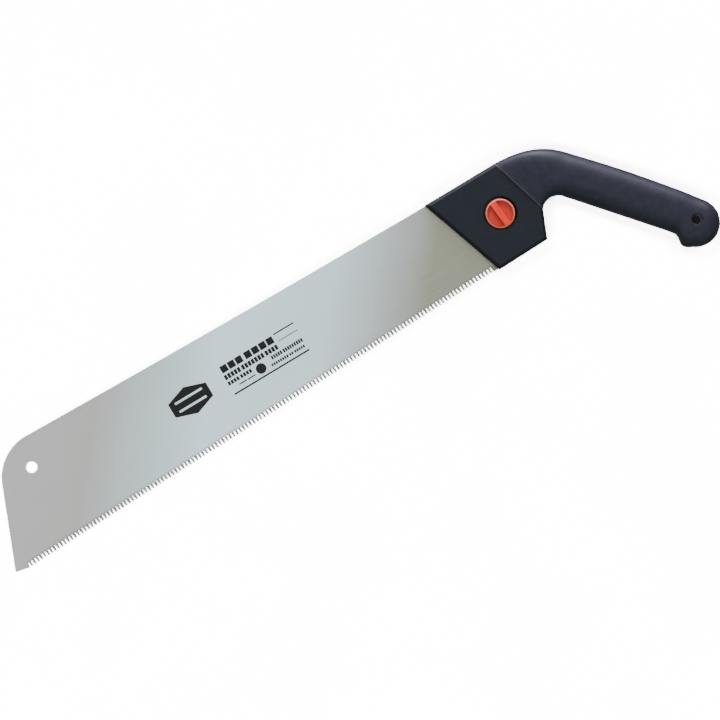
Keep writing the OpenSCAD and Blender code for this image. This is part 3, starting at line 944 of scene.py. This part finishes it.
# %% Join head and grip, and make the openings
SCREWS = [(-33.5, 26.3), (9.5, 25.6), (11.5, -26.6), (-16.6, -26.4), (37.5, 9), (71.5, -23),
          (98.5, -57.5)]
PINS = [(-12, 19.9), (-12, -19.9)]
HANG_HOLE, HANG_R = (114.5, -77.8), 3.5
WELL_R = 12.0
BOLT_HOLE_R = 4.15
BOLT_HEAD_R = 5.92                        # to the corners of the six-sided seat
SEAT_R = 2.8                              # wide part of a screw hole, round the screw's head
SCREW_R = 1.66
PLATE_HALF = 22.7                         # half the width of the pocket for the clamp plates


def add_discs(name, centres, radius, low, high):
    discs = [add_disc(name, centre, radius, low, high, sides=48) for centre in centres]
    take(*discs)
    bpy.ops.object.join()
    return bpy.context.object


def add_plate_pocket():
    pocket = add_block("plate pocket", (-60, -PLATE_HALF, -2.05), (6.3, PLATE_HALF, 2.3))
    cut(pocket, FRONT_TOP + Vector((3.9, 0, 0)), -front_normal)
    return pocket


def add_hex_seat():
    seat = add_disc("hex seat", (0, 0), BOLT_HEAD_R, -20, -4.2, sides=6)
    seat.rotation_euler.z = radians(30)
    take(seat)
    bpy.ops.object.transform_apply(location=True, rotation=True, scale=True)
    return seat


def make_openings(form):
    cutters = [
        add_block("tang slot", (-60, -TANG_HALF - TANG_GAP, -0.6),
                  (10.4, TANG_HALF + TANG_GAP, 0.6)),
        add_plate_pocket(),
        add_disc("well", (0, 0), WELL_R, 2.0, 20),
        add_disc("bolt hole", (0, 0), BOLT_HOLE_R, -10, 1),
        add_hex_seat(),
        add_discs("screw seats", SCREWS, SEAT_R, -20, -6),
        add_discs("screw holes", SCREWS, SCREW_R, -7, 5.3),
        add_discs("pin holes", PINS, SCREW_R, -3.4, 3.4),
        add_disc("hanging hole", HANG_HOLE, HANG_R, -20, 20, sides=64),
    ]
    for cutter in cutters:
        combine(form, cutter, "DIFFERENCE")


combine(handle_form, head, "UNION")
make_openings(handle_form)
print("handle with openings:", len(handle_form.data.polygons), "faces")

# %% [markdown]
# A sharp rim round a moulded hole looks wrong, because moulds can't make one. The rims of the
# well, the hanging hole and the screw seats each get a small bevel while the edges are still
# easy to find by their height and their distance from the hole's centre.

# %% Round the rims of the openings
def round_rim(form, centre, radius, test, width):
    def on_rim(edge):
        if not all(abs(math.hypot(v.co.x - centre[0], v.co.y - centre[1]) - radius) < 0.02
                   for v in edge.verts):
            return False
        return test(middle(edge).z) and abs(edge.verts[0].co.z - edge.verts[1].co.z) < 1.0
    found = pick(form, "EDGE", on_rim)
    bpy.ops.mesh.bevel(offset=width, offset_type="OFFSET", segments=2, affect="EDGES")
    leave_edit_mode()
    return found


print("well:", round_rim(handle_form, (0, 0), WELL_R, lambda z: z > HEAD_HALF - 0.01, 0.5))
for side in (-1, 1):
    print("hanging hole:", round_rim(
        handle_form, HANG_HOLE, HANG_R, lambda z: z * side > 10, 0.7))
for centre in SCREWS:
    round_rim(handle_form, centre, SEAT_R, lambda z: z < -7, 0.25)

# %% [markdown]
# ### Handle plastic
# The shells are glass-filled plastic, a very dark blue-grey. The mould is etched over the grip,
# so that the hand doesn't slip, and only brushed on the head, which is therefore a little
# darker. A distance from the ridge tells the two apart. A pale strip along the sharp step of the
# ridge is a painted highlight, and scuffs sit here and there.

# %% Make the handle plastic
def make_handle_plastic():
    plastic, shader, where = new_material("handle plastic")
    grain = pattern(plastic, where, 1700, detail=3.0)
    drift = pattern(plastic, where, 60, detail=4.0)
    mottle = pattern(plastic, where, 210, detail=3.0, rough=0.6)
    scuff = pattern(plastic, where, 420, detail=6.0, rough=0.7, stretch=(0.25, 1, 1), turn=0.6)
    from_ridge = add_node(plastic, "ShaderNodeMapping", Vector=where,
                          Location=-(datum + RIDGE_TOP * MM))
    distance = add_node(plastic, "ShaderNodeVectorMath", Vector=from_ridge.outputs[0])
    distance.operation = "DOT_PRODUCT"
    distance.inputs[1].default_value = ridge_normal
    past = spread(plastic, distance.outputs["Value"], -10 * MM, 10 * MM)
    on_grip = ramp(plastic, past, (0.49, 0.0), (0.51, 1.0))
    # painted highlight: a pale strip along the step of the ridge
    ridge_highlight = ramp(plastic, past, (0.485, 0.0), (0.505, 0.8), (0.53, 0.8), (0.55, 0.0))
    blotches = ramp(plastic, mottle, (0.35, 0.0), (0.65, 1.0))
    grip_tone = blended(plastic, blotches, (0.0045, 0.0080, 0.0110), (0.0100, 0.0095, 0.0180))
    head_tone = blended(plastic, blotches, (0.0018, 0.0045, 0.0065), (0.0035, 0.0050, 0.0080))
    base = blended(plastic, on_grip, head_tone, grip_tone)
    rubbed = ramp(plastic, scuff, (0.6, 0.0), (0.78, 0.30))
    scuffed = blended(plastic, rubbed, base, (0.020, 0.023, 0.030))
    wire(plastic, blended(plastic, ridge_highlight, scuffed, (0.045, 0.045, 0.055)),
         shader.inputs["Base Color"])
    shader.inputs["Specular IOR Level"].default_value = 0.15
    wire(plastic, ramp(plastic, drift, (0.25, 0.44), (0.75, 0.56)), shader.inputs["Roughness"])
    bumps(plastic, shader, grain, 0.00009, 0.7)
    return plastic


handle_plastic = make_handle_plastic()
print("made", handle_plastic.name)

# %% [markdown]
# ### Two shells
# The form is sawn along the middle of the blade. Each shell stops a hair short of the middle,
# so the parting line round the handle shows as a fine dark line.

# %% Saw the handle in two
PARTING = 0.05


def add_shell(name, low, high):
    shell = handle_form.copy()
    shell.data = handle_form.data.copy()
    bpy.context.collection.objects.link(shell)
    shell.name = shell.data.name = name
    combine(shell, add_block("half", (-80, -120, low), (160, 80, high)), "INTERSECT")
    shell.data.materials.clear()
    shell.data.materials.append(handle_plastic)
    return shell


left_half = add_shell("left_shell_moulded", PARTING, 40)
right_half = add_shell("right_shell_moulded", -40, -PARTING)
bpy.data.objects.remove(handle_form)
settle(left_half, "handle", "left_shell", smooth=28)
settle(right_half, "handle", "right_shell", smooth=28)

# %% [markdown]
# ## The finger knob
# The knob is a shallow disc with a raised rim and a bar across it for finger and thumb. The top
# face is inset for the rim and bisected twice along the bar. The two half-moons are sunk with a
# slight draft, as a mould needs, and the bar is lifted a little above the rim.

# %% Model the knob
KNOB_LOW, KNOB_R = on_board("clamp_knob")[0].z, 10.4
KNOB_TOP = KNOB_LOW + 6.3
KNOB_EDGE = 0.8                           # rounding of the top's outer edge
RIM_W = 1.7
BAR_HALF = 2.5
BAR_TILT = 4.0                            # the bar rests a few degrees off square


def add_knob():
    knob = add_disc("finger_knob", (0, 0), KNOB_R, KNOB_LOW, KNOB_TOP, sides=128)
    on_top = lambda face: face.normal.z > 0.9 and middle(face).z > KNOB_TOP - 0.1
    pick(knob, "EDGE", lambda e: all(v.co.z > KNOB_TOP - 0.01 for v in e.verts))
    bpy.ops.mesh.bevel(offset=KNOB_EDGE, offset_type="OFFSET", segments=4, affect="EDGES")
    pick(knob, "FACE", on_top)
    bpy.ops.mesh.inset(thickness=RIM_W - KNOB_EDGE)
    for side in (-1, 1):
        cut(knob, (side * BAR_HALF, 0, 0), (side, 0, 0),
            only=lambda face: on_top(face) and len(face.verts) > 8)
    pick(knob, "FACE", lambda face: on_top(face) and face.calc_area() > 20
         and abs(middle(face).x) > BAR_HALF)
    bpy.ops.mesh.inset(thickness=0.45, depth=-1.7)
    pick(knob, "FACE", lambda face: on_top(face) and face.calc_area() > 20)
    bpy.ops.mesh.inset(thickness=0.3, depth=0.55)
    leave_edit_mode()
    soften(knob, 0.3, 3, 25)
    combine(knob, add_disc("insert pocket", (0, 0), 5.0, 0, KNOB_LOW + 3.4), "DIFFERENCE")
    knob.rotation_euler.z = radians(BAR_TILT)
    take(knob)
    bpy.ops.object.transform_apply(location=True, rotation=True, scale=True)
    return knob


finger_knob = add_knob()
finger_knob.data.materials.append(knob_plastic)
settle(finger_knob, "knob", "clamp_knob", smooth=35)

# %% [markdown]
# ## Metal parts
# Bolt, washer, plates, pins, screws and insert already have their real shape in the packed
# model, so they stay and only get their finish.

# %% Give the metal parts their finish
def finish_node(name, material):
    node = bpy.data.objects[name]
    for material_slot in node.material_slots:
        material_slot.material = material


zinc_nodes = ["plate_pin_upper", "plate_pin_lower", "clamp_bolt", "knob_washer"]
zinc_nodes += [f"shell_screw_{i + 1}" for i in range(len(SCREWS))]
for name in zinc_nodes:
    finish_node(name, zinc_steel)
for name in ("backing_plate", "pressure_plate"):
    finish_node(name, black_steel)
finish_node("knob_insert", brass)
print("zinc plated:", len(zinc_nodes), "parts")

# %% [markdown]
# ## Studio
# A saw laid on a table rests on its grip and on the toe of its blade, so it lies at a slight
# slope. We keep the saw level and tilt the table instead. Strong lamps of the table's own, one
# from each side, wash it nearly white without glaring on the steel: light linking names the
# table as their only receiver. Its paint is a mid grey, so that little of the surround's light
# shows on it, and the hanging hole stays dark. The saw has an even bright surround, and one
# large soft lamp low on the spine's side draws a highlight along the back of the grip.

# %% Lay the table
GRIP_X, TABLE_SLOPE = 61.0, 1.4825        # lowest point of the grip, and the table's tilt


def make_table_paint():
    paint, shader, where = new_material("table paint")
    cloud = pattern(paint, where, 9, detail=3.0)
    wire(paint, ramp(paint, cloud, (0.3, 0.180), (0.7, 0.186)), shader.inputs["Base Color"])
    shader.inputs["Roughness"].default_value = 0.9
    shader.inputs["Specular IOR Level"].default_value = 0.1
    return paint


def add_table():
    leave_edit_mode()
    bpy.ops.object.select_all(action="DESELECT")
    place = datum + Vector((GRIP_X, 0, -GRIP_HALF - 0.3)) * MM
    bpy.ops.mesh.primitive_plane_add(size=8, location=place,
                                     rotation=(0, radians(TABLE_SLOPE), 0))
    table = bpy.context.object
    table.name = "table"
    table.data.materials.append(make_table_paint())
    table.visible_diffuse = False
    table.visible_glossy = False
    return table


table = add_table()
print("table at", tuple(round(c, 3) for c in table.location))

# %% Light and camera
ABOVE_GLOW, LEVEL_GLOW = 1.55, 0.5        # the surround's strength overhead and level with us
WASH_TILT = 25.0                          # steep, so that short shadows fall on the table
WASH_POWER = 73
WASH_SPREAD = 14.0                        # width of each lamp in the sky, for soft shadows
VIEW_TURN = -32.551
VIEW_CENTRE = Vector((-138.7, -33.8, 0))
VIEW_DISTANCE, LENS = 5.638, 400


def add_world():
    world = bpy.data.worlds.new("studio")
    bpy.context.scene.world = world
    world.use_nodes = True
    sky = world.node_tree.nodes["Background"]
    sky.inputs["Color"].default_value = (1.0, 1.0, 1.0, 1)
    direction = add_node(world, "ShaderNodeTexCoord").outputs["Generated"]
    height = add_node(world, "ShaderNodeSeparateXYZ", Vector=direction).outputs["Z"]
    wire(world, spread(world, height, 0.0, 0.8, LEVEL_GLOW, ABOVE_GLOW), sky.inputs["Strength"])


def add_lamp(name, place, size, power, colour):
    """A square soft lamp that faces the blade's middle."""
    target = datum + VIEW_CENTRE * MM
    place = target + Vector(place)
    bpy.ops.object.light_add(type="AREA", location=place)
    lamp = bpy.context.object
    lamp.name = name
    lamp.rotation_euler = (target - place).to_track_quat("-Z", "Y").to_euler()
    lamp.data.size = size
    lamp.data.energy = power
    lamp.data.color = colour
    return lamp


def keep_off_table(lamp):
    """Stops a lamp's low rays from creeping under the saw."""
    unlit = bpy.data.collections.new("unlit")
    unlit.objects.link(table)
    unlit.collection_objects[0].light_linking.link_state = "EXCLUDE"
    lamp.light_linking.receiver_collection = unlit


def wash_table():
    """Four slanting soft lights that reach only the table."""
    lit = bpy.data.collections.new("washed")
    lit.objects.link(table)
    for turn in (0, 90, 180, 270):
        bpy.ops.object.light_add(type="SUN", rotation=(radians(WASH_TILT), 0, radians(turn)))
        wash = bpy.context.object
        wash.name = f"table wash {turn}"
        wash.data.energy = WASH_POWER
        wash.data.angle = radians(WASH_SPREAD)
        wash.light_linking.receiver_collection = lit


def add_camera():
    bpy.ops.object.camera_add(
        location=datum + VIEW_CENTRE * MM + Vector((0, 0, VIEW_DISTANCE)),
        rotation=(0, 0, radians(VIEW_TURN)))
    camera = bpy.context.object
    camera.data.lens = LENS
    bpy.context.scene.camera = camera


add_world()
spine_lamp = add_lamp("spine side lamp", (0.8, 1.25, 0.4), 1.2, 120, (0.96, 0.86, 1.0))
keep_off_table(spine_lamp)
wash_table()
add_camera()
print("camera", round(VIEW_DISTANCE, 2), "m above the blade")
